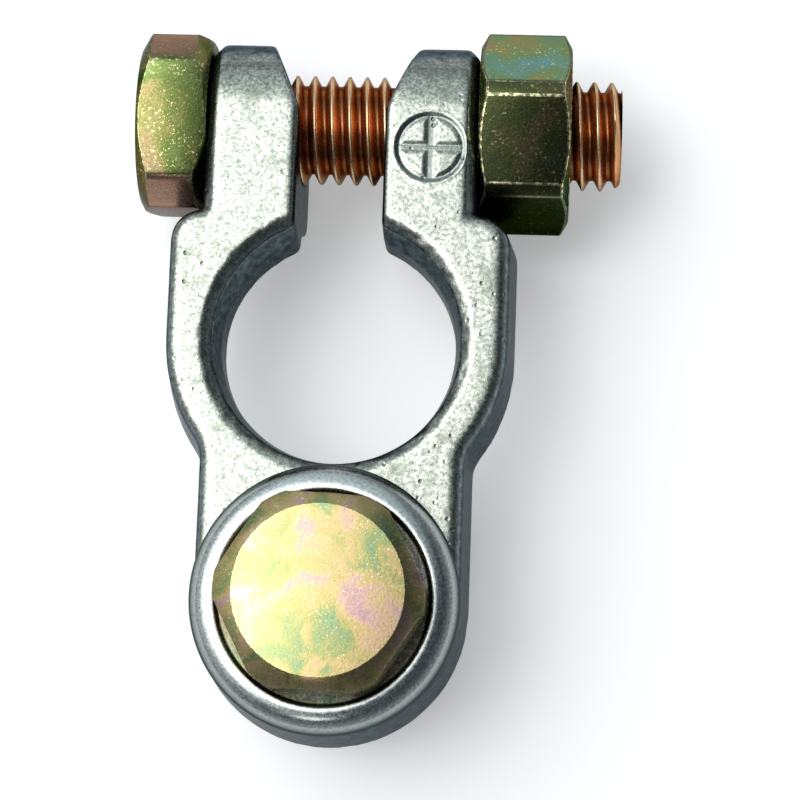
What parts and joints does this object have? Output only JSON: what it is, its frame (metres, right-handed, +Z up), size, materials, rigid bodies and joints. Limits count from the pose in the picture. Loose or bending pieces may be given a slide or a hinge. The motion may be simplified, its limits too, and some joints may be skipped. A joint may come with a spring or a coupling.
{
  "type": "battery terminal clamp",
  "caption": "Cast battery terminal clamp: split ring on a post, drawn shut by a cross bolt and nut, with a bolt and cap washer on its tail for the cable.",
  "frame": {"origin": "on the axis of the post bore, in the plane of the ring's underside", "axes": "+Z up the bore, towards its wide mouth and the cable bolt's head; +Y towards the clamping ears; +X along the clamp bolt, from head to nut"},
  "size_m": [0.0342, 0.0512, 0.0213],
  "materials": {
    "cast_alloy": "tinned casting, satin, mottled and pitted, edges darker",
    "yellow_zinc_dark": "yellow-passivated zinc plate, iridescent olive, gold and copper",
    "yellow_zinc_light": "yellow-passivated zinc plate, pale and iridescent",
    "bright_zinc": "bright zinc plate with pressed rings"
  },
  "bodies": {
    "clamp_body": {"clamp_body": "cast_alloy"},
    "clamp_bolt": {"clamp_bolt": "yellow_zinc_dark"},
    "clamp_nut": {"clamp_nut": "yellow_zinc_dark"},
    "cable_cap": {"cable_cap": "bright_zinc"},
    "cable_bolt": {"cable_bolt": "yellow_zinc_light"}
  },
  "joints": [
    {"name": "clamp_nut_turn", "type": "hinge", "parent": "clamp_body", "child": "clamp_nut", "pos_m": [0.01263, 0.0164, 0.001], "axis": [1, 0, 0], "range_deg": [0, 990]},
    {"name": "clamp_bolt_slide", "type": "slide", "parent": "clamp_body", "child": "clamp_bolt", "axis": [-1, 0, 0], "range_m": [0, 0.0036]},
    {"name": "cable_cap_lift", "type": "slide", "parent": "clamp_body", "child": "cable_cap", "axis": [0, 0, 1], "range_m": [0, 0.0032]},
    {"name": "cable_bolt_turn", "type": "hinge", "parent": "cable_cap", "child": "cable_bolt", "pos_m": [0, -0.0181, 0.0093], "axis": [0, 0, 1], "range_deg": [0, 900]}
  ],
  "couplings": [
    {"joint": "clamp_bolt_slide", "follows": "clamp_nut_turn", "m_per_rad": 0.00019894},
    {"joint": "cable_cap_lift", "follows": "cable_bolt_turn", "m_per_rad": 0.00019894}
  ]
}
